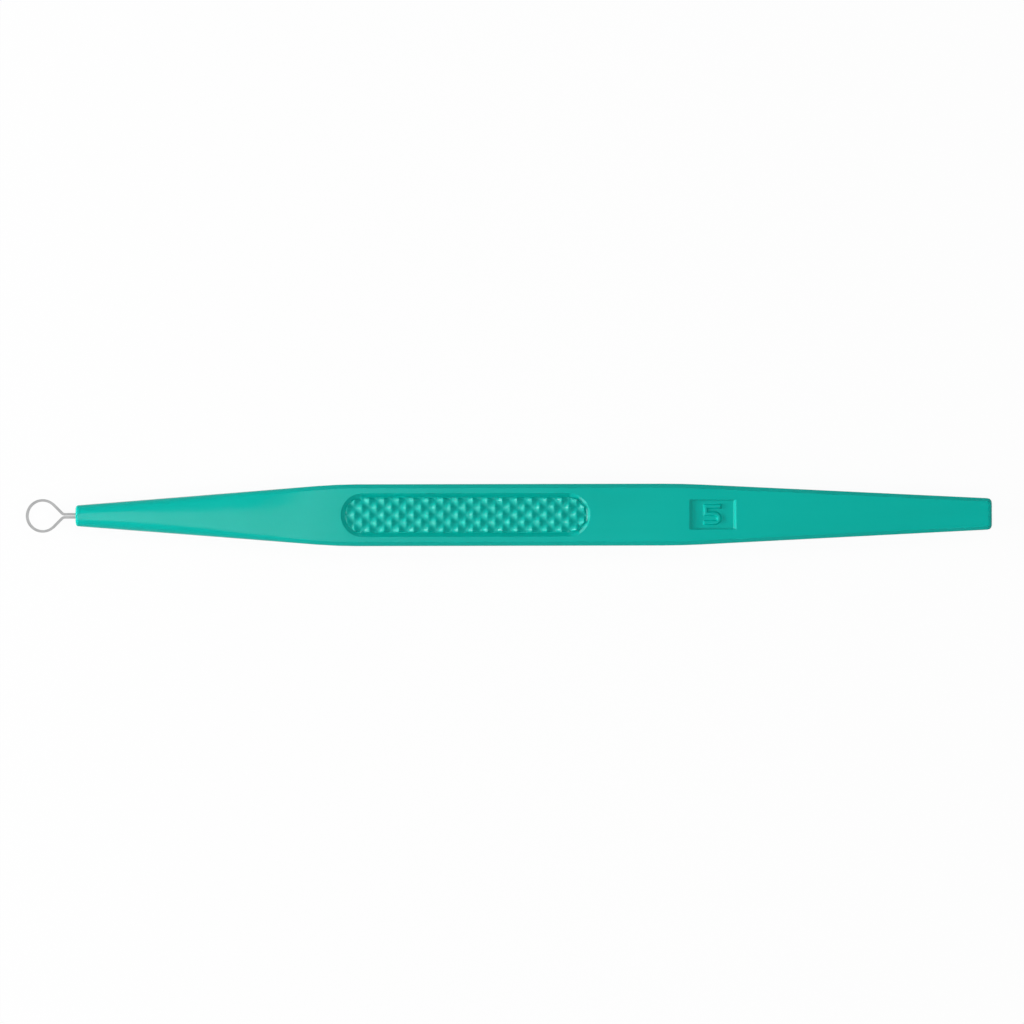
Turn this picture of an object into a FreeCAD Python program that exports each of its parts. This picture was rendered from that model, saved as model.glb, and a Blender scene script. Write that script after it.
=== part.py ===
import FreeCAD, Part
import math
import os
import Sketcher

# Dermal curette: one moulded plastic handle and one steel strip bent to a ring blade.
# Millimetres. Inside each body the origin is the middle of the handle's tip face,
# +X runs towards the rear end, +Y is across the handle and +Z is up.

SIZES = {
    # handle outline
    "handle_length": 136.4,
    "nose_length": 39.0,
    "grip_length": 51.4,
    "shoulder_blend": 3.0,
    "grip_width": 9.2,
    "grip_thickness": 5.0,
    "grip_edge": 0.6,
    # tip, and the two sections between it and the front shoulder
    "tip_width": 3.1,
    "tip_edge": 1.25,
    "tip_crown": 15.0,
    "tip_rounding": 0.35,
    "fore_edge": 1.6,
    "fore_crown": 14.0,
    "mid_edge": 1.2,
    "mid_crown": 14.0,
    # rear end
    "rear_width": 4.7,
    "rear_thickness": 3.5,
    "rear_edge": 0.5,
    "rear_rounding": 0.7,
    # grip patch with pyramid teeth
    "patch_start": 39.5,
    "patch_length": 37.1,
    "patch_width": 6.5,
    "patch_depth": 0.55,
    "patch_wall_angle": 45.0,
    "tooth_spacing": 2.2,
    "tooth_height": 0.45,
    "tooth_land": 0.12,
    "tooth_root": 0.04,
    "tooth_margin": 0.1,
    # recess with the raised size number
    "window_start": 91.3,
    "window_length": 7.1,
    "window_width": 4.4,
    "window_depth": 0.4,
    "window_slope": 0.5,
    "digit_height": 3.3,
    "digit_width": 2.9,
    "digit_stroke": 0.9,
    "digit_bowl": 1.1,
    "digit_rise": 0.3,
    "digit_root": 0.1,
    "digit_wall_angle": 35.0,
    "digit_start": 2.0,
    "sink": 0.2,
    # ring blade
    "ring_diameter": 5.0,
    "ring_offset": 4.95,
    "strip_thickness": 0.38,
    "strip_height": 1.0,
    "leg_gap": 0.08,
    "neck_radius": 0.4,
    "neck_angle": 45.0,
    "leg_embed": 12.0,
    "bevel_width": 0.3,
    "bevel_height": 0.42,
    "bevel_angle": 264.0,
}

NOSE_FALL = "(dim.grip_width - dim.tip_width) / dim.nose_length"
NOSE_THIN = "(dim.grip_thickness - dim.tip_width) / dim.nose_length"
TAIL_LENGTH = "(dim.handle_length - dim.rear_rounding - dim.nose_length - dim.grip_length)"
TAIL_FALL = f"(dim.grip_width - dim.rear_width) / {TAIL_LENGTH}"
TAIL_THIN = f"(dim.grip_thickness - dim.rear_thickness) / {TAIL_LENGTH}"
REAR_SHOULDER = "(dim.nose_length + dim.grip_length)"
PATCH_MIDDLE = "(dim.patch_start + dim.patch_length / 2)"
PATCH_FLOOR = "(dim.grip_thickness / 2 - dim.patch_depth)"

doc = FreeCAD.newDocument("dermal_curette")


def make_sheet():
    """Lists every driving dimension under its name."""
    sheet = doc.addObject("Spreadsheet::Sheet", "dim")
    for row, (name, size) in enumerate(SIZES.items(), start=1):
        sheet.set(f"A{row}", name)
        sheet.set(f"B{row}", str(size))
        sheet.setAlias(f"B{row}", name)
    doc.recompute()
    return sheet


sheet = make_sheet()


def value(expression):
    """Gives the number that an expression over the sheet has now."""
    return float(sheet.evalExpression(expression))


def origin_plane(body, role):
    """Finds one of the body's three origin planes."""
    return next(item for item in body.Origin.OriginFeatures if item.Role == role)


def sketch_on(body, name, role, shift=(None, None, None), turn=None):
    """Adds a sketch on an origin plane, moved by expressions along its own axes."""
    sketch = body.newObject("Sketcher::SketchObject", name)
    sketch.AttachmentSupport = (origin_plane(body, role), "")
    sketch.MapMode = "FlatFace"
    if turn:
        sketch.AttachmentOffset = FreeCAD.Placement(FreeCAD.Vector(), FreeCAD.Rotation(*turn))
    for axis, expression in zip("xyz", shift):
        if expression:
            sketch.setExpression(f"AttachmentOffset.Base.{axis}", expression)
    return sketch


def line(start, end):
    return Part.LineSegment(FreeCAD.Vector(*start, 0), FreeCAD.Vector(*end, 0))


def arc(centre, radius, start, end):
    """A counter-clockwise arc between two angles in degrees."""
    circle = Part.Circle(FreeCAD.Vector(*centre, 0), FreeCAD.Vector(0, 0, 1), radius)
    return Part.ArcOfCircle(circle, math.radians(start), math.radians(end))


def tie(sketch, kind, *references):
    """Adds a geometric constraint."""
    sketch.addConstraint(Sketcher.Constraint(kind, *references))


def bind(sketch, kind, *references, size):
    """Adds a dimension whose value follows an expression over the sheet."""
    index = sketch.addConstraint(Sketcher.Constraint(kind, *references, value(size)))
    sketch.setExpression(f"Constraints[{index}]", size)


def join(sketch, count, corners=()):
    """Joins neighbouring edges end to start, smoothly except at the given corners."""
    for edge in range(count):
        kind = "Coincident" if edge in corners else "Tangent"
        tie(sketch, kind, edge, 2, (edge + 1) % count, 1)


def flat_section(sketch, width, thickness, edge):
    """Rectangle with slanting corner facets, from the right side counter-clockwise."""
    across, up, facet = value(width) / 2, value(thickness) / 2, value(edge)
    inner, low = across - facet, up - facet
    corners = [(across, -low), (across, low), (inner, up), (-inner, up),
               (-across, low), (-across, -low), (-inner, -up), (inner, -up)]
    sketch.addGeometry([line(corners[i], corners[(i + 1) % 8]) for i in range(8)])
    join(sketch, 8, corners=range(8))
    for upright, level in ((0, 2), (4, 6)):
        tie(sketch, "Symmetric", upright, 1, upright, 2, -1)
        tie(sketch, "Symmetric", level, 1, level, 2, -2)
    bind(sketch, "DistanceX", -1, 1, 0, 1, size=f"({width}) / 2")
    bind(sketch, "DistanceX", 4, 1, -1, 1, size=f"({width}) / 2")
    bind(sketch, "DistanceY", -1, 1, 2, 1, size=f"({thickness}) / 2")
    bind(sketch, "DistanceY", 6, 1, -1, 1, size=f"({thickness}) / 2")
    bind(sketch, "DistanceX", 2, 1, 0, 2, size=edge)
    bind(sketch, "DistanceX", 6, 2, 0, 1, size=edge)
    bind(sketch, "DistanceY", 0, 2, 2, 1, size=edge)
    bind(sketch, "DistanceY", 4, 1, 2, 2, size=edge)


def crowned_section(sketch, width, thickness, edge, crown):
    """Rounded rectangle whose top and bottom are bowed to the crown radius."""
    across, up = value(width) / 2, value(thickness) / 2
    radius, bow = value(edge), value(crown)
    inner = across - radius
    lean = math.degrees(math.asin(inner / (bow - radius)))
    low = up - bow + math.sqrt((bow - radius) ** 2 - inner ** 2)
    sketch.addGeometry([
        line((across, -low), (across, low)),
        arc((inner, low), radius, 0, 90 - lean),
        arc((0, up - bow), bow, 90 - lean, 90 + lean),
        arc((-inner, low), radius, 90 + lean, 180),
        line((-across, low), (-across, -low)),
        arc((-inner, -low), radius, 180, 270 - lean),
        arc((0, bow - up), bow, 270 - lean, 270 + lean),
        arc((inner, -low), radius, 270 + lean, 360),
    ])
    join(sketch, 8)
    for upright, bowed in ((0, 2), (4, 6)):
        tie(sketch, "Vertical", upright)
        tie(sketch, "PointOnObject", bowed, 3, -2)
    for corner in (3, 5, 7):
        tie(sketch, "Equal", 1, corner)
    tie(sketch, "Equal", 2, 6)
    bind(sketch, "Radius", 1, size=edge)
    bind(sketch, "Radius", 2, size=crown)
    bind(sketch, "DistanceX", -1, 1, 0, 1, size=f"({width}) / 2")
    bind(sketch, "DistanceX", 4, 1, -1, 1, size=f"({width}) / 2")
    bind(sketch, "DistanceY", 2, 3, -1, 1, size=f"{crown} - ({thickness}) / 2")
    bind(sketch, "DistanceY", -1, 1, 6, 3, size=f"{crown} - ({thickness}) / 2")


def station(body, name, place, width, thickness, edge, crown=None):
    """One section of the handle, at a distance from the tip face."""
    sketch = sketch_on(body, name, "YZ_Plane", (None, None, place))
    if crown:
        crowned_section(sketch, width, thickness, edge, crown)
    else:
        flat_section(sketch, width, thickness, edge)
    return sketch


def nose_stations(body):
    """Evenly spaced sections from the rounded tip towards the front shoulder."""
    sections = []
    for index, name in enumerate(("tip", "fore", "mid")):
        rest = "(dim.nose_length - dim.shoulder_blend - dim.tip_rounding)"
        place = f"(dim.tip_rounding + {rest} * {index} / 3)"
        width = f"dim.tip_width + {NOSE_FALL} * {place}"
        thickness = f"dim.tip_width + {NOSE_THIN} * {place}"
        sections.append(station(body, f"section_{name}", place, width, thickness,
                                f"dim.{name}_edge", f"dim.{name}_crown"))
    return sections


def end_stations(body, name, face, inward, rounding, section, shrink):
    """Ever smaller sections over a rounded end, from the full one to the end face."""
    sections = []
    for angle in (60, 30, 0):
        place = f"{face} {inward} {rounding} * (1 - cos({angle} deg))"
        inset = f"{rounding} * (1 - sin({angle} deg))"
        width, thickness, *radii = section
        radii = [f"{radius} - {shrink} * {inset}" for radius in radii]
        sections.append(station(body, f"{name}_{angle}", place, f"{width} - 2 * {inset}",
                                f"{thickness} - 2 * {inset}", *radii))
    return sections


def shoulder_stations(body, name, middle, direction, fall, thin):
    """Sections at the sloping end, middle and flat end of a shoulder's parabolic blend."""
    sections = []
    for offset, share in ((-1, 1), (0, 0.25), (1, 0)):
        place = f"{middle} {direction} dim.shoulder_blend * {offset}"
        width = f"dim.grip_width - {fall} * dim.shoulder_blend * {share}"
        thickness = f"dim.grip_thickness - {thin} * dim.shoulder_blend * {share}"
        label = f"{name}_{offset + 2}"
        sections.append(station(body, label, place, width, thickness, "dim.grip_edge"))
    return sections


def add_loft(body, name, sections, ruled=True):
    """Adds the solid through a run of sections, straight or smooth between them."""
    loft = body.newObject("PartDesign::AdditiveLoft", name)
    loft.Profile = sections[0]
    loft.Sections = sections[1:]
    loft.Ruled = ruled
    doc.recompute()
    return loft


def add_grip(body, section):
    """Adds the middle stretch, which keeps one section from blend to blend."""
    pad = body.newObject("PartDesign::Pad", "grip")
    pad.Profile = section
    pad.setExpression("Length", "dim.grip_length - dim.shoulder_blend * 2")
    doc.recompute()


def handle_form(body):
    """Lofts the handle's long form, stretch by stretch, from the tip to the rear end."""
    nose = nose_stations(body)
    front = shoulder_stations(body, "front_shoulder", "dim.nose_length", "+",
                              NOSE_FALL, NOSE_THIN)
    rear = shoulder_stations(body, "rear_shoulder", REAR_SHOULDER, "-", TAIL_FALL, TAIL_THIN)
    end_section = ("dim.rear_width", "dim.rear_thickness", "dim.rear_edge")
    end = station(body, "section_rear", "dim.handle_length - dim.rear_rounding", *end_section)
    tip_section = (f"dim.tip_width + {NOSE_FALL} * dim.tip_rounding",
                   f"dim.tip_width + {NOSE_THIN} * dim.tip_rounding",
                   "dim.tip_edge", "dim.tip_crown")
    tip = end_stations(body, "tip_round", "0", "+", "dim.tip_rounding", tip_section, 1)
    back = end_stations(body, "rear_round", "dim.handle_length", "-", "dim.rear_rounding",
                        end_section, "(2 - sqrt(2))")
    add_loft(body, "nose", nose + front[:1], ruled=False)
    add_loft(body, "tip_end", nose[:1] + tip)
    add_loft(body, "front_shoulder", front)
    add_grip(body, front[-1])
    add_loft(body, "rear_shoulder", rear[::-1])
    add_loft(body, "tail", [rear[0], end])
    add_loft(body, "rear_end", [end] + back)


def stadium(sketch, length, width):
    """Slot outline with half-round ends, centred on the sketch origin."""
    radius = value(width) / 2
    half = value(length) / 2 - radius
    sketch.addGeometry([
        line((-half, -radius), (half, -radius)),
        arc((half, 0), radius, -90, 90),
        line((half, radius), (-half, radius)),
        arc((-half, 0), radius, 90, 270),
    ])
    join(sketch, 4)
    tie(sketch, "Horizontal", 0)
    tie(sketch, "Horizontal", 2)
    tie(sketch, "PointOnObject", 1, 3, -1)
    bind(sketch, "Radius", 1, size=f"({width}) / 2")
    bind(sketch, "DistanceX", -1, 1, 1, 3, size=f"(({length}) - ({width})) / 2")
    bind(sketch, "DistanceX", 3, 3, -1, 1, size=f"(({length}) - ({width})) / 2")


def cut_patch(body):
    """Sinks the grip patch into the top with sloping walls and repeats it underneath."""
    outline = sketch_on(body, "patch_outline", "XY_Plane",
                        (PATCH_MIDDLE, None, "dim.grip_thickness / 2"))
    stadium(outline, "dim.patch_length", "dim.patch_width")
    pocket = body.newObject("PartDesign::Pocket", "patch_pocket")
    pocket.Profile = outline
    pocket.setExpression("Length", "dim.patch_depth")
    pocket.setExpression("TaperAngle", "-dim.patch_wall_angle")
    doc.recompute()
    under = body.newObject("PartDesign::Mirrored", "patch_pocket_under")
    under.Originals = [pocket]
    under.MirrorPlane = (origin_plane(body, "XY_Plane"), [""])
    body.Tip = under
    doc.recompute()


def surface_at(place):
    """Height of the sloping rear top face at a distance from the tip."""
    return f"dim.grip_thickness / 2 - {TAIL_THIN} / 2 * ({place} - {REAR_SHOULDER})"


def cut_window(body):
    """Cuts the number's recess: floor parallel to the face, both end walls sloping."""
    front = "dim.window_start"
    back = "(dim.window_start + dim.window_length)"
    top = "dim.grip_thickness / 2 + dim.sink"
    foot = "dim.window_slope * dim.sink / dim.window_depth"
    sketch = sketch_on(body, "window_profile", "XZ_Plane")
    sketch.addGeometry([
        line((91.8, 2.1), (97.9, 2.0)),
        line((97.9, 2.0), (98.6, 2.7)),
        line((98.6, 2.7), (91.1, 2.7)),
        line((91.1, 2.7), (91.8, 2.1)),
    ])
    join(sketch, 4, corners=(0, 1, 2, 3))
    tie(sketch, "Horizontal", 2)
    bind(sketch, "DistanceX", -1, 1, 0, 1, size=f"{front} + dim.window_slope")
    bind(sketch, "DistanceX", -1, 1, 0, 2, size=f"{back} - dim.window_slope")
    bind(sketch, "DistanceY", -1, 1, 0, 1, size=f"{surface_at(front)} - dim.window_depth")
    bind(sketch, "DistanceY", -1, 1, 0, 2, size=f"{surface_at(back)} - dim.window_depth")
    bind(sketch, "DistanceY", -1, 1, 2, 1, size=top)
    bind(sketch, "DistanceX", -1, 1, 2, 1, size=f"{back} + {foot}")
    bind(sketch, "DistanceX", -1, 1, 2, 2, size=f"{front} - {foot}")
    pocket = body.newObject("PartDesign::Pocket", "window_pocket")
    pocket.Profile = sketch
    pocket.SideType = "Symmetric"
    pocket.setExpression("Length", "dim.window_width")
    doc.recompute()


def cut_leg_slot(body):
    """Cuts the slot that both ends of the strip fill."""
    slot = body.newObject("PartDesign::SubtractiveBox", "leg_slot")
    slot.AttachmentSupport = (origin_plane(body, "XY_Plane"), "")
    slot.MapMode = "FlatFace"
    slot.setExpression("Length", "dim.leg_embed")
    slot.setExpression("Width", "dim.leg_gap + dim.strip_thickness * 2")
    slot.setExpression("Height", "dim.strip_height")
    slot.setExpression("AttachmentOffset.Base.y", "-dim.leg_gap / 2 - dim.strip_thickness")
    slot.setExpression("AttachmentOffset.Base.z", "-dim.strip_height / 2")
    doc.recompute()


def make_blank():
    """The handle without its raised details."""
    body = doc.addObject("PartDesign::Body", "handle_blank")
    handle_form(body)
    cut_patch(body)
    cut_window(body)
    cut_leg_slot(body)
    return body


def cut_grooves(body, name, angle):
    """Cuts one family of parallel V grooves across the tooth layer."""
    pitch = "(dim.tooth_spacing / sqrt(2))"
    reach = "(dim.patch_length + dim.patch_width) / (2 * sqrt(2))"
    half_count = f"ceil({reach} / {pitch})"
    bottom = f"{PATCH_FLOOR} + dim.tooth_root"
    sketch = sketch_on(body, f"{name}_profile", "XZ_Plane", (PATCH_MIDDLE, None, None),
                       (FreeCAD.Vector(0, 1, 0), angle))
    start = -value(f"{half_count} * {pitch}")
    low = value(bottom)
    sketch.addGeometry([
        line((start, low), (start + 0.7, low + 0.45)),
        line((start + 0.7, low + 0.45), (start - 0.7, low + 0.45)),
        line((start - 0.7, low + 0.45), (start, low)),
    ])
    join(sketch, 3, corners=(0, 1, 2))
    tie(sketch, "Horizontal", 1)
    tie(sketch, "Equal", 0, 2)
    bind(sketch, "DistanceX", 0, 1, -1, 1, size=f"{half_count} * {pitch}")
    bind(sketch, "DistanceY", -1, 1, 0, 1, size=bottom)
    bind(sketch, "DistanceX", 1, 2, 1, 1, size=f"{pitch} - dim.tooth_land")
    bind(sketch, "DistanceY", -1, 1, 1, 1, size=f"{bottom} + dim.tooth_height")
    groove = body.newObject("PartDesign::Pocket", f"{name}_groove")
    groove.Profile = sketch
    groove.SideType = "Symmetric"
    groove.setExpression("Length", "dim.patch_length + dim.patch_width")
    doc.recompute()
    pattern = body.newObject("PartDesign::LinearPattern", f"{name}_grooves")
    pattern.Originals = [groove]
    pattern.Direction = (sketch, ["H_Axis"])
    pattern.setExpression("Length", f"2 * {half_count} * {pitch}")
    pattern.setExpression("Occurrences", f"2 * {half_count} + 1")
    body.Tip = pattern
    doc.recompute()


def make_teeth():
    """The layer of pyramid teeth on the floor of the top grip patch."""
    body = doc.addObject("PartDesign::Body", "teeth_top")
    wall = "dim.patch_depth * tan(dim.patch_wall_angle * 1deg) + dim.tooth_margin"
    outline = sketch_on(body, "teeth_outline", "XY_Plane",
                        (PATCH_MIDDLE, None, f"{PATCH_FLOOR} - dim.sink"))
    stadium(outline, f"dim.patch_length - 2 * ({wall})", f"dim.patch_width - 2 * ({wall})")
    layer = body.newObject("PartDesign::Pad", "teeth_layer")
    layer.Profile = outline
    layer.setExpression("Length", "dim.sink + dim.tooth_root + dim.tooth_height")
    doc.recompute()
    cut_grooves(body, "right", 45)
    cut_grooves(body, "left", -45)
    return body


def mirror_under(source, name):
    """Repeats a raised detail on the underside."""
    mirror = doc.addObject("Part::Mirroring", name)
    mirror.Source = source
    mirror.Normal = FreeCAD.Vector(0, 0, 1)
    mirror.Base = FreeCAD.Vector(0, 0, 0)
    return mirror


def digit_outline(sketch):
    """Outline of the figure five, from the top left corner clockwise."""
    height, width = value("dim.digit_height"), value("dim.digit_width")
    stroke, bowl = value("dim.digit_stroke"), value("dim.digit_bowl")
    bend = width - bowl
    sketch.addGeometry([
        line((0, height), (width, height)),
        line((width, height), (width, height - stroke)),
        line((width, height - stroke), (stroke, height - stroke)),
        line((stroke, height - stroke), (stroke, 2 * bowl)),
        line((stroke, 2 * bowl), (bend, 2 * bowl)),
        arc((bend, bowl), bowl, -90, 90),
        line((bend, 0), (0, 0)),
        line((0, 0), (0, stroke)),
        line((0, stroke), (bend, stroke)),
        arc((bend, bowl), bowl - stroke, -90, 90),
        line((bend, 2 * bowl - stroke), (0, 2 * bowl - stroke)),
        line((0, 2 * bowl - stroke), (0, height)),
    ])
    for edge in (0, 2, 4, 6, 8, 10):
        tie(sketch, "Horizontal", edge)
    for edge in (1, 3, 7, 11):
        tie(sketch, "Vertical", edge)
    for edge in (0, 1, 2, 3, 6, 7, 10, 11):
        tie(sketch, "Coincident", edge, 2, (edge + 1) % 12, 1)
    tie(sketch, "Tangent", 4, 2, 5, 2)
    tie(sketch, "Tangent", 5, 1, 6, 1)
    tie(sketch, "Tangent", 8, 2, 9, 1)
    tie(sketch, "Tangent", 9, 2, 10, 1)
    tie(sketch, "Coincident", 5, 3, 9, 3)
    tie(sketch, "Coincident", 7, 1, -1, 1)
    tie(sketch, "PointOnObject", 11, 1, -2)
    bind(sketch, "DistanceY", -1, 1, 0, 1, size="dim.digit_height")
    bind(sketch, "DistanceX", -1, 1, 1, 1, size="dim.digit_width")
    bind(sketch, "DistanceY", 1, 2, 1, 1, size="dim.digit_stroke")
    bind(sketch, "DistanceX", -1, 1, 3, 1, size="dim.digit_stroke")
    bind(sketch, "Radius", 5, size="dim.digit_bowl")
    bind(sketch, "Radius", 9, size="dim.digit_bowl - dim.digit_stroke")
    bind(sketch, "DistanceX", -1, 1, 5, 3, size="dim.digit_width - dim.digit_bowl")


def make_digit():
    """The raised figure five on the floor of the recess, with sloping walls."""
    body = doc.addObject("PartDesign::Body", "digit")
    floor = f"{surface_at('(dim.window_start + dim.window_length / 2)')} - dim.window_depth"
    sketch = sketch_on(body, "digit_outline", "XY_Plane",
                       ("dim.window_start + dim.digit_start", "-dim.digit_height / 2",
                        f"{floor} - dim.digit_root"))
    digit_outline(sketch)
    pad = body.newObject("PartDesign::Pad", "digit_pad")
    pad.Profile = sketch
    pad.setExpression("Length", "dim.digit_root + dim.digit_rise")
    pad.setExpression("TaperAngle", "-dim.digit_wall_angle")
    doc.recompute()
    return body


def strip_edge(centre, outer, side, neck, reach, slope):
    """One edge of the strip: upper leg, neck, slant, ring, slant, neck and lower leg."""
    lean = math.radians(slope)
    run = (outer + neck) / math.cos(lean) - (side + neck) * math.tan(lean)
    bend = (centre + run, side + neck)
    touch = (centre + outer * math.cos(lean), outer * math.sin(lean))
    turn = (bend[0] - neck * math.cos(lean), bend[1] - neck * math.sin(lean))
    return [
        line((reach, side), (bend[0], side)),
        arc(bend, neck, 180 + slope, 270),
        line(turn, touch),
        arc((centre, 0), outer, slope, 360 - slope),
        line((touch[0], -touch[1]), (turn[0], -turn[1])),
        arc((bend[0], -bend[1]), neck, 90, 180 - slope),
        line((bend[0], -side), (reach, -side)),
    ]


def strip_outline(sketch):
    """Plan of the strip: its outer edge, then its inner edge, closed by the legs' ends."""
    outer, centre = value("dim.ring_diameter / 2"), -value("dim.ring_offset")
    strip, gap = value("dim.strip_thickness"), value("dim.leg_gap / 2")
    neck, reach = value("dim.neck_radius"), value("dim.leg_embed")
    slope = value("dim.neck_angle")
    sketch.addGeometry(strip_edge(centre, outer, gap + strip, neck, reach, slope))
    sketch.addGeometry(strip_edge(centre, outer - strip, gap, neck + strip, reach, slope))
    sketch.addGeometry([
        line((reach, gap + strip), (reach, gap)),
        line((reach, -gap - strip), (reach, -gap)),
    ])
    for first in (0, 7):
        for edge, end, start in ((0, 2, 2), (1, 1, 1), (2, 2, 1), (3, 2, 1), (4, 2, 2), (5, 1, 1)):
            tie(sketch, "Tangent", first + edge, end, first + edge + 1, start)
        tie(sketch, "Horizontal", first)
        tie(sketch, "Horizontal", first + 6)
    for cap, start, finish, point in ((14, 0, 7, 1), (15, 6, 13, 2)):
        tie(sketch, "Coincident", cap, 1, start, point)
        tie(sketch, "Coincident", cap, 2, finish, point)
        tie(sketch, "Vertical", cap)
    for ring_part in (1, 3, 5):
        tie(sketch, "Coincident", ring_part, 3, ring_part + 7, 3)
    tie(sketch, "PointOnObject", 3, 3, -1)
    tie(sketch, "Equal", 1, 5)
    bind(sketch, "Radius", 3, size="dim.ring_diameter / 2")
    bind(sketch, "Radius", 10, size="dim.ring_diameter / 2 - dim.strip_thickness")
    bind(sketch, "Radius", 1, size="dim.neck_radius")
    bind(sketch, "DistanceX", 3, 3, -1, 1, size="dim.ring_offset")
    bind(sketch, "DistanceY", -1, 1, 0, 1, size="dim.leg_gap / 2 + dim.strip_thickness")
    bind(sketch, "DistanceY", 6, 2, -1, 1, size="dim.leg_gap / 2 + dim.strip_thickness")
    bind(sketch, "DistanceX", -1, 1, 0, 1, size="dim.leg_embed")
    bind(sketch, "DistanceX", -1, 1, 6, 2, size="dim.leg_embed")
    distance = "(dim.ring_diameter / 2 + dim.neck_radius) / cos(dim.neck_angle * 1deg)"
    drop = "(dim.leg_gap / 2 + dim.strip_thickness + dim.neck_radius) * tan(dim.neck_angle * 1deg)"
    bind(sketch, "DistanceX", 3, 3, 1, 3, size=f"{distance} - {drop}")


def grind_edge(body):
    """Grinds the ring's lower rim from outside to a cutting edge, clear of the neck."""
    outer = "dim.ring_diameter / 2"
    sketch = sketch_on(body, "bevel_profile", "XZ_Plane", ("-dim.ring_offset", None, None))
    sketch.addGeometry([
        line((-2.6, -0.6), (-2.6, -0.1)),
        line((-2.6, -0.1), (-2.1, -0.6)),
        line((-2.1, -0.6), (-2.6, -0.6)),
    ])
    join(sketch, 3, corners=(0, 1, 2))
    tie(sketch, "Vertical", 0)
    tie(sketch, "Horizontal", 2)
    over = "0.1"
    slope = "dim.bevel_height / dim.bevel_width"
    bind(sketch, "DistanceX", 0, 1, -1, 1, size=f"{outer} + {over}")
    bind(sketch, "DistanceY", 0, 1, -1, 1, size=f"dim.strip_height / 2 + {over} * {slope}")
    bind(sketch, "DistanceX", 0, 1, 1, 2, size=f"dim.bevel_width + 2 * {over}")
    bind(sketch, "DistanceY", 0, 1, 0, 2, size=f"(dim.bevel_width + 2 * {over}) * {slope}")
    groove = body.newObject("PartDesign::Groove", "ground_edge")
    groove.Profile = sketch
    groove.ReferenceAxis = (sketch, ["V_Axis"])
    groove.Midplane = True
    groove.setExpression("Angle", "dim.bevel_angle")
    doc.recompute()


def make_ring_blade():
    """The steel strip: ring, neck and both legs."""
    body = doc.addObject("PartDesign::Body", "ring_strip")
    body.Label = "ring_blade"
    sketch = sketch_on(body, "strip_outline", "XY_Plane")
    strip_outline(sketch)
    pad = body.newObject("PartDesign::Pad", "strip")
    pad.Profile = sketch
    pad.SideType = "Symmetric"
    pad.setExpression("Length", "dim.strip_height")
    doc.recompute()
    grind_edge(body)
    return body


def make_handle():
    """Joins the blank with its teeth and number."""
    blank = make_blank()
    teeth = make_teeth()
    under = mirror_under(teeth, "teeth_under")
    digit = make_digit()
    handle = doc.addObject("Part::MultiFuse", "handle_part")
    handle.Label = "handle"
    handle.Shapes = [blank, teeth, under, digit]
    handle.Refine = True
    return handle


def place_in_row(part):
    """Rests the flat underside at zero height with the whole length centred."""
    reach = "(dim.ring_offset + dim.ring_diameter / 2)"
    part.setExpression("Placement.Base.x", f"({reach} - dim.handle_length) / 2")
    part.setExpression("Placement.Base.z", "dim.grip_thickness / 2")


def check(parts):
    """Stops when a feature failed or a sub-part isn't one valid solid."""
    for item in doc.Objects:
        if "Invalid" in item.State or "Error" in item.State:
            raise RuntimeError(f"{item.Name} failed: {item.State}")
    for part in parts:
        if part.Shape.isNull() or not part.Shape.isValid() or len(part.Shape.Solids) != 1:
            raise RuntimeError(f"{part.Label} isn't one valid solid")


def export(parts):
    os.makedirs("parts", exist_ok=True)
    for part in parts:
        part.Shape.exportStep(f"parts/{part.Label}.step")


parts = [make_handle(), make_ring_blade()]
for part in parts:
    place_in_row(part)
doc.recompute()
check(parts)
export(parts)
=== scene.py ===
import math

import bmesh
import bpy
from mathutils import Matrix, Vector


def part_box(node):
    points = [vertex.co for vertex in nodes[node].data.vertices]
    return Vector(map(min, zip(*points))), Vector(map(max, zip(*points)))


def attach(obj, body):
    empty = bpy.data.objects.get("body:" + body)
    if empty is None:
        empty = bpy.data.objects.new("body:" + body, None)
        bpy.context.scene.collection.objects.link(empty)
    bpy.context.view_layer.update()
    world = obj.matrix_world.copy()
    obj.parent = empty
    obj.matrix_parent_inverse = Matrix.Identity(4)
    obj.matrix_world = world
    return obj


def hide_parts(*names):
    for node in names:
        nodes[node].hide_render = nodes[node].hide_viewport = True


# A dermal curette: its plastic handle and its steel ring blade, finished round the CAD model.
# Lengths are in metres unless a comment says otherwise.

MM = 0.001
WHITE = (1, 1, 1)
CENTRE = (0, 0, 0)

# The photograph: its side and the handle's tip in pixels, the size of a pixel, and its small turn.
PHOTO_SIDE = 1024
TIP_PIXEL = (76.0, 514.9)
PIXEL = 0.149 * MM
LEAN = math.radians(0.12)

# The camera: its height over the handle's middle, its sensor in millimetres and its clipping.
DISTANCE = 0.95
SENSOR = 36.0
CLIP_START, CLIP_END = 0.05, 20

# The grip patches' teeth and the floor between them: their ends along the handle, their half
# width, and their heights from its middle plane. The patch's own wall is told by its slope.
TEETH_START, TEETH_END, TEETH_SIDE = -25.0 * MM, 12.2 * MM, 3.3 * MM
TEETH_LOW, TEETH_HIGH = 1.94 * MM, 2.48 * MM
WALL_SLOPE, SLOPE_MARGIN = 45, 3

# How the teeth are rounded: short edges joined, the rest divided, then vertices evened out.
TOOTH_JOIN = 0.05 * MM
TOOTH_CUTS = 3
TOOTH_ROUNDS, TOOTH_FACTOR = 4, 0.5

# How a CAD surface is cleaned, and into how many steps its edges are softened.
JOIN = 0.002 * MM
FLAT_ANGLE = math.radians(0.05)
BEVEL_SEGMENTS = 2

# The plastic: two shades and its flow lines, its roughness, what a rub adds to it, and its gloss.
TEAL, TEAL_LIGHT, TEAL_FLOW = (0.0001, 0.370, 0.306), (0.0002, 0.400, 0.334), (0.0004, 0.415, 0.350)
PLASTIC_ROUGH, RUB_ROUGH = (0.13, 0.17), 0.06
PLASTIC_SPECULAR = 0.08

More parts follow.
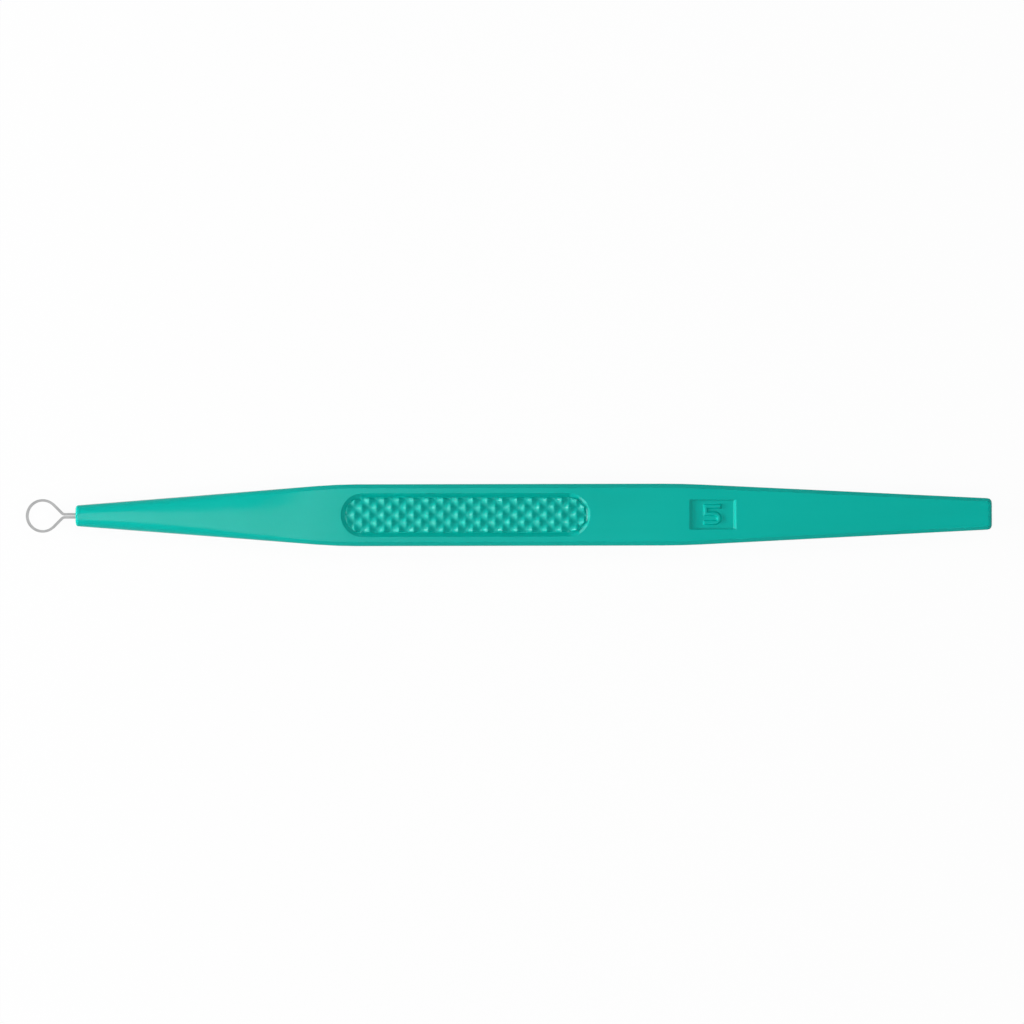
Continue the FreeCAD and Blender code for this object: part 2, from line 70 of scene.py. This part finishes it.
# The steel: two shades and its roughness.
STEEL, STEEL_LIGHT = (0.43, 0.432, 0.434), (0.50, 0.502, 0.504)
STEEL_ROUGH = (0.34, 0.5)

# The floor: its side, its gap under the object, its grey, and how much of it shows plain white.
FLOOR_SIDE = 4.0
FLOOR_GAP = 0.02 * MM
FLOOR_GREY = (0.7, 0.7, 0.7)
FLOOR_WHITE = 0.95

# How strongly the world lights the object.
WORLD_LIGHT = 0.06

# The overhead lamp that the nose mirrors: its place, its target, its sides and its cool colour.
GLOW_PLACE, GLOW_TARGET = (-0.245, -0.165, 0.95), (-0.245, -0.165, 0)
GLOW_SIDES = (0.39, 0.53)
COOL = (0.9, 0.95, 1.0)

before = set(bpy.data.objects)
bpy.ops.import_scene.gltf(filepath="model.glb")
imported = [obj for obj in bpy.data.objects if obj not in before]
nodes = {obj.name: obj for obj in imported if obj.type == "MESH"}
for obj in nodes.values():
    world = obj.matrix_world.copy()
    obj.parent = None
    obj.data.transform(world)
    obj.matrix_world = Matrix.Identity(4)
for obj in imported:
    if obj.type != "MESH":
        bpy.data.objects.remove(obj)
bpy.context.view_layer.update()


def give(tree, socket, setting):
    """Links a socket to another node's socket, or sets its value."""
    if isinstance(setting, bpy.types.NodeSocket):
        tree.links.new(setting, socket)
    else:
        socket.default_value = setting


def node(tree, kind, inputs=None, **settings):
    """Adds a shader node with its settings and socket values."""
    made = tree.nodes.new(kind)
    for name, setting in settings.items():
        setattr(made, name, setting)
    for name, setting in (inputs or {}).items():
        give(tree, made.inputs[name], setting)
    return made


def empty_material(name):
    """A material whose tree holds only its output; returns all three."""
    material = bpy.data.materials.new(name)
    material.use_nodes = True
    tree = material.node_tree
    tree.nodes.clear()
    return material, tree, node(tree, "ShaderNodeOutputMaterial")


def shaded_material(name):
    """A material, its tree, its shader, and the object's coordinates in millimetres."""
    material, tree, output = empty_material(name)
    shader = node(tree, "ShaderNodeBsdfPrincipled")
    give(tree, output.inputs["Surface"], shader.outputs["BSDF"])
    place = node(tree, "ShaderNodeTexCoord").outputs["Object"]
    scaled = node(tree, "ShaderNodeMapping", {"Vector": place, "Scale": (1 / MM, 1 / MM, 1 / MM)})
    return material, tree, shader, scaled.outputs["Vector"]


def noise(tree, place, scale, detail, stretch=(1, 1, 1), roughness=0.5):
    """Noise with a size given per millimetre, stretched along the axes."""
    mapped = node(tree, "ShaderNodeMapping", {"Vector": place, "Scale": stretch})
    made = node(tree, "ShaderNodeTexNoise", {"Vector": mapped.outputs["Vector"], "Scale": scale,
                                             "Detail": detail, "Roughness": roughness})
    return made.outputs["Fac"]


def spread(tree, value, low, high, start=0.3, end=0.7):
    """Maps a noise value between start and end to the range from low to high."""
    made = node(tree, "ShaderNodeMapRange", {"Value": value, "From Min": start, "From Max": end,
                                             "To Min": low, "To Max": high})
    return made.outputs["Result"]


def bump(tree, height, strength, distance, under=None):
    """A surface raised by a noise value, on top of another bump if there is one under it."""
    inputs = {"Height": height, "Strength": strength, "Distance": distance}
    if under is not None:
        inputs["Normal"] = under
    return node(tree, "ShaderNodeBump", inputs).outputs["Normal"]


def mix_colour(tree, share, first, second):
    """Mixes a colour, or another mix, with a second colour by a share that varies."""
    made = node(tree, "ShaderNodeMix", data_type="RGBA")
    sockets = {item.identifier: item for item in made.inputs}
    give(tree, sockets["Factor_Float"], share)
    for name, colour in (("A_Color", first), ("B_Color", second)):
        mixed = isinstance(colour, bpy.types.NodeSocket)
        give(tree, sockets[name], colour if mixed else (*colour, 1))
    return next(item for item in made.outputs if item.identifier == "Result_Color")


def mix_shaders(tree, share, first, second):
    """Mixes two shaders by a share of the second."""
    made = node(tree, "ShaderNodeMixShader", {"Fac": share})
    for socket, shader in zip(made.inputs[1:], (first, second)):
        give(tree, socket, shader)
    return made.outputs["Shader"]


def maths(tree, operation, first, second):
    """One operation on two values, each a socket or a number."""
    made = node(tree, "ShaderNodeMath", operation=operation)
    for socket, item in zip(made.inputs, (first, second)):
        give(tree, socket, item)
    return made.outputs["Value"]


def moulded_plastic():
    """Teal moulded plastic: soft clouds of colour, a fine mould grain and faint rub marks."""
    material, tree, shader, place = shaded_material("teal_moulded_plastic")
    clouds = noise(tree, place, scale=0.09, detail=4.0, stretch=(0.5, 1, 1))
    flow = noise(tree, place, scale=0.5, detail=3.0, stretch=(0.06, 1, 1))
    colour = mix_colour(tree, spread(tree, clouds, 0, 1), TEAL, TEAL_LIGHT)
    flow_share = spread(tree, flow, 0, 0.35, start=0.45, end=0.8)
    colour = mix_colour(tree, flow_share, colour, TEAL_FLOW)
    give(tree, shader.inputs["Base Color"], colour)
    grain = noise(tree, place, scale=5.0, detail=2.0)
    rubs = noise(tree, place, scale=1.4, detail=2.0, stretch=(0.05, 1.6, 1.6), roughness=0.6)
    rub_share = spread(tree, rubs, 0, 1, start=0.62, end=0.74)
    rubbed = maths(tree, "MULTIPLY", rub_share, RUB_ROUGH)
    rough = maths(tree, "ADD", spread(tree, clouds, *PLASTIC_ROUGH), rubbed)
    give(tree, shader.inputs["Roughness"], rough)
    shader.inputs["Specular IOR Level"].default_value = PLASTIC_SPECULAR
    fine = bump(tree, grain, strength=0.04, distance=0.02 * MM)
    marks = bump(tree, rubs, strength=0.03, distance=0.03 * MM, under=fine)
    give(tree, shader.inputs["Normal"], marks)
    return material


def strip_steel():
    """Bright rolled steel strip with fine lines along it and a slightly uneven tone."""
    material, tree, shader, place = shaded_material("bright_strip_steel")
    tone = noise(tree, place, scale=0.8, detail=3.0)
    lines = noise(tree, place, scale=1.0, detail=4.0, stretch=(1.2, 1.2, 22.0), roughness=0.65)
    colour = mix_colour(tree, spread(tree, tone, 0, 1), STEEL, STEEL_LIGHT)
    give(tree, shader.inputs["Base Color"], colour)
    shader.inputs["Metallic"].default_value = 1.0
    give(tree, shader.inputs["Roughness"], spread(tree, lines, *STEEL_ROUGH))
    give(tree, shader.inputs["Normal"], bump(tree, lines, strength=0.15, distance=0.01 * MM))
    return material


def toothed(face, middle):
    """Tells whether a face belongs to a grip patch's teeth or the floor between them."""
    place = face.calc_center_median()
    within = TEETH_START < place.x < TEETH_END and abs(place.y) < TEETH_SIDE
    sunk = TEETH_LOW < abs(place.z - middle) < TEETH_HIGH
    slope = math.degrees(math.acos(min(1.0, abs(face.normal.z))))
    return within and sunk and abs(slope - WALL_SLOPE) > SLOPE_MARGIN


def toothed_faces(form, middle):
    """The faces of the teeth, in the mesh's order, so that each run gives the same result."""
    return [face for face in form.faces if toothed(face, middle)]


def inner_verts(form, faces):
    """The vertices that only the given faces touch."""
    chosen = set(faces)
    return [vert for vert in form.verts
            if vert.link_faces and chosen.issuperset(vert.link_faces)]


def soften_teeth(form, middle):
    """Rounds the pyramid teeth all over, as moulded teeth are; returns their faces."""
    faces = toothed_faces(form, middle)
    bmesh.ops.remove_doubles(form, verts=inner_verts(form, faces), dist=TOOTH_JOIN)
    faces = toothed_faces(form, middle)
    bmesh.ops.triangulate(form, faces=[face for face in faces if len(face.verts) > 4])
    chosen = set(toothed_faces(form, middle))
    edges = [edge for edge in form.edges if chosen.intersection(edge.link_faces)]
    bmesh.ops.subdivide_edges(form, edges=edges, cuts=TOOTH_CUTS, use_grid_fill=True)
    faces = toothed_faces(form, middle)
    inner = inner_verts(form, faces)
    for step in range(TOOTH_ROUNDS):
        bmesh.ops.smooth_vert(form, verts=inner, factor=TOOTH_FACTOR,
                              use_axis_x=True, use_axis_y=True, use_axis_z=True)
    return set(faces)


def weigh_edges(form, angle, left_out):
    """Marks the edges to bevel: those that bend by more than the angle, off the faces left out."""
    weight = form.edges.layers.float.new("bevel_weight_edge")
    for edge in form.edges:
        sharp = len(edge.link_faces) == 2 and edge.calc_face_angle() > math.radians(angle)
        edge[weight] = 1.0 if sharp and not left_out.intersection(edge.link_faces) else 0.0


def cleaned_mesh(source, name, material, angle, has_teeth):
    """A joined copy of a CAD node's mesh, with its teeth rounded and its sharp edges marked."""
    mesh = source.data.copy()
    mesh.name = name
    mesh.materials.clear()
    mesh.materials.append(material)
    form = bmesh.new()
    form.from_mesh(mesh)
    bmesh.ops.remove_doubles(form, verts=form.verts, dist=JOIN)
    bmesh.ops.dissolve_limit(form, angle_limit=FLAT_ANGLE, verts=form.verts, edges=form.edges)
    low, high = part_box(source.name)
    teeth = soften_teeth(form, (low.z + high.z) / 2) if has_teeth else set()
    weigh_edges(form, angle, teeth)
    for face in form.faces:
        face.smooth = True
        face.material_index = 0
    form.to_mesh(mesh)
    form.free()
    return mesh


def skin(name, source, material, bevel, angle, has_teeth=False):
    """A copy of a CAD node's surface with softened edges, which stands for the node."""
    mesh = cleaned_mesh(source, name, material, angle, has_teeth)
    piece = bpy.data.objects.new(name, mesh)
    bpy.context.scene.collection.objects.link(piece)
    soft = piece.modifiers.new("soft_edges", "BEVEL")
    soft.width = bevel
    soft.segments = BEVEL_SEGMENTS
    soft.limit_method = "WEIGHT"
    soft.use_clamp_overlap = True
    soft.harden_normals = False
    even = piece.modifiers.new("even_normals", "WEIGHTED_NORMAL")
    even.keep_sharp = False
    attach(piece, "root")
    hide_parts(source.name)
    return piece


def shown_rays(tree):
    """1 for the rays that show the background: the camera's, and those of gloss and glass."""
    path = node(tree, "ShaderNodeLightPath").outputs
    seen = maths(tree, "MAXIMUM", path["Is Camera Ray"], path["Is Glossy Ray"])
    return maths(tree, "MAXIMUM", seen, path["Is Transmission Ray"])


def make_floor():
    """A wide pale floor that shows nearly white and keeps the object's shadow."""
    bpy.ops.mesh.primitive_plane_add(size=FLOOR_SIDE, location=(0, 0, -FLOOR_GAP))
    floor = bpy.context.object
    floor.name = "floor"
    material, tree, output = empty_material("pale_floor")
    matt = node(tree, "ShaderNodeBsdfDiffuse", {"Color": (*FLOOR_GREY, 1)})
    white = node(tree, "ShaderNodeEmission", {"Color": (*WHITE, 1), "Strength": 1.0})
    share = maths(tree, "MULTIPLY", shown_rays(tree), FLOOR_WHITE)
    mixed = mix_shaders(tree, share, matt.outputs["BSDF"], white.outputs["Emission"])
    give(tree, output.inputs["Surface"], mixed)
    floor.data.materials.append(material)


def make_world():
    """Even, weak light from all round, which shows white to the camera and in gloss and glass."""
    world = bpy.data.worlds.new("studio")
    bpy.context.scene.world = world
    world.use_nodes = True
    tree = world.node_tree
    tree.nodes.clear()
    output = node(tree, "ShaderNodeOutputWorld")
    light, white = (node(tree, "ShaderNodeBackground", {"Color": (*WHITE, 1), "Strength": strength})
                    for strength in (WORLD_LIGHT, 1.0))
    mixed = mix_shaders(tree, shown_rays(tree), light.outputs["Background"],
                        white.outputs["Background"])
    give(tree, output.inputs["Surface"], mixed)


def area_light(name, place, target, sides, power, colour=WHITE, gloss_on=None):
    """A soft rectangular lamp aimed at a point, which lights all surfaces and shows in no gloss.

    With gloss_on it lights nothing, and shows only in the gloss of that collection's pieces.
    """
    data = bpy.data.lights.new(name, "AREA")
    data.shape = "RECTANGLE"
    data.size, data.size_y = sides
    data.energy = power
    data.color = colour
    lamp = bpy.data.objects.new(name, data)
    lamp.location = place
    lamp.rotation_euler = (Vector(target) - Vector(place)).to_track_quat("-Z", "Y").to_euler()
    gloss_only = gloss_on is not None
    lamp.visible_glossy = gloss_only
    lamp.visible_diffuse = not gloss_only
    if gloss_only:
        lamp.light_linking.receiver_collection = gloss_on
    bpy.context.scene.collection.objects.link(lamp)


def make_lamps(handle):
    """The key from the ring's end, an overhead glow, two fills, and the lamps seen in gloss."""
    plastic_pieces = bpy.data.collections.new("plastic")
    plastic_pieces.objects.link(handle)
    area_light("key", (-0.482, -0.01, 0.139), CENTRE, sides=(0.44, 0.2), power=4.1)
    area_light("rim_gloss", (-0.38, 0, 0.34), CENTRE, sides=(0.3, 0.12), power=3.2,
               gloss_on=plastic_pieces)
    area_light("glow", GLOW_PLACE, GLOW_TARGET, GLOW_SIDES, power=1.6, colour=COOL)
    area_light("glow_gloss", GLOW_PLACE, GLOW_TARGET, GLOW_SIDES, power=7.0,
               gloss_on=plastic_pieces)
    for side in (-1, 1):
        area_light(f"fill_{side}", (0.16, 0.35 * side, 0.86), CENTRE, sides=(0.6, 0.3), power=2.65)
        area_light(f"glint_{side}", (-0.33, 0.33 * side, 0.215), CENTRE, sides=(0.22, 0.2),
                   power=1.4, gloss_on=plastic_pieces)


def make_camera():
    """Looks straight down, placed so that the tip and the scale match the photograph."""
    data = bpy.data.cameras.new("camera")
    camera = bpy.data.objects.new("camera", data)
    bpy.context.scene.collection.objects.link(camera)
    data.sensor_width = SENSOR
    data.lens = SENSOR * DISTANCE / (PHOTO_SIDE * PIXEL)
    low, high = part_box("handle")
    along = low.x + (PHOTO_SIDE / 2 - TIP_PIXEL[0]) * PIXEL
    across = (TIP_PIXEL[1] - PHOTO_SIDE / 2) * PIXEL
    camera.location = (along, across, (low.z + high.z) / 2 + DISTANCE)
    camera.rotation_euler = (0, 0, -LEAN)
    data.clip_start = CLIP_START
    data.clip_end = CLIP_END
    bpy.context.scene.camera = camera


bpy.context.scene.view_settings.view_transform = "Standard"
plastic = moulded_plastic()
steel = strip_steel()
handle = skin("handle_moulding", nodes["handle"], plastic,
              bevel=0.035 * MM, angle=18, has_teeth=True)
skin("ring_strip", nodes["ring_blade"], steel, bevel=0.02 * MM, angle=25)
for source, material in (("handle", plastic), ("ring_blade", steel)):
    nodes[source].data.materials.clear()
    nodes[source].data.materials.append(material)
make_floor()
make_world()
make_lamps(handle)
make_camera()
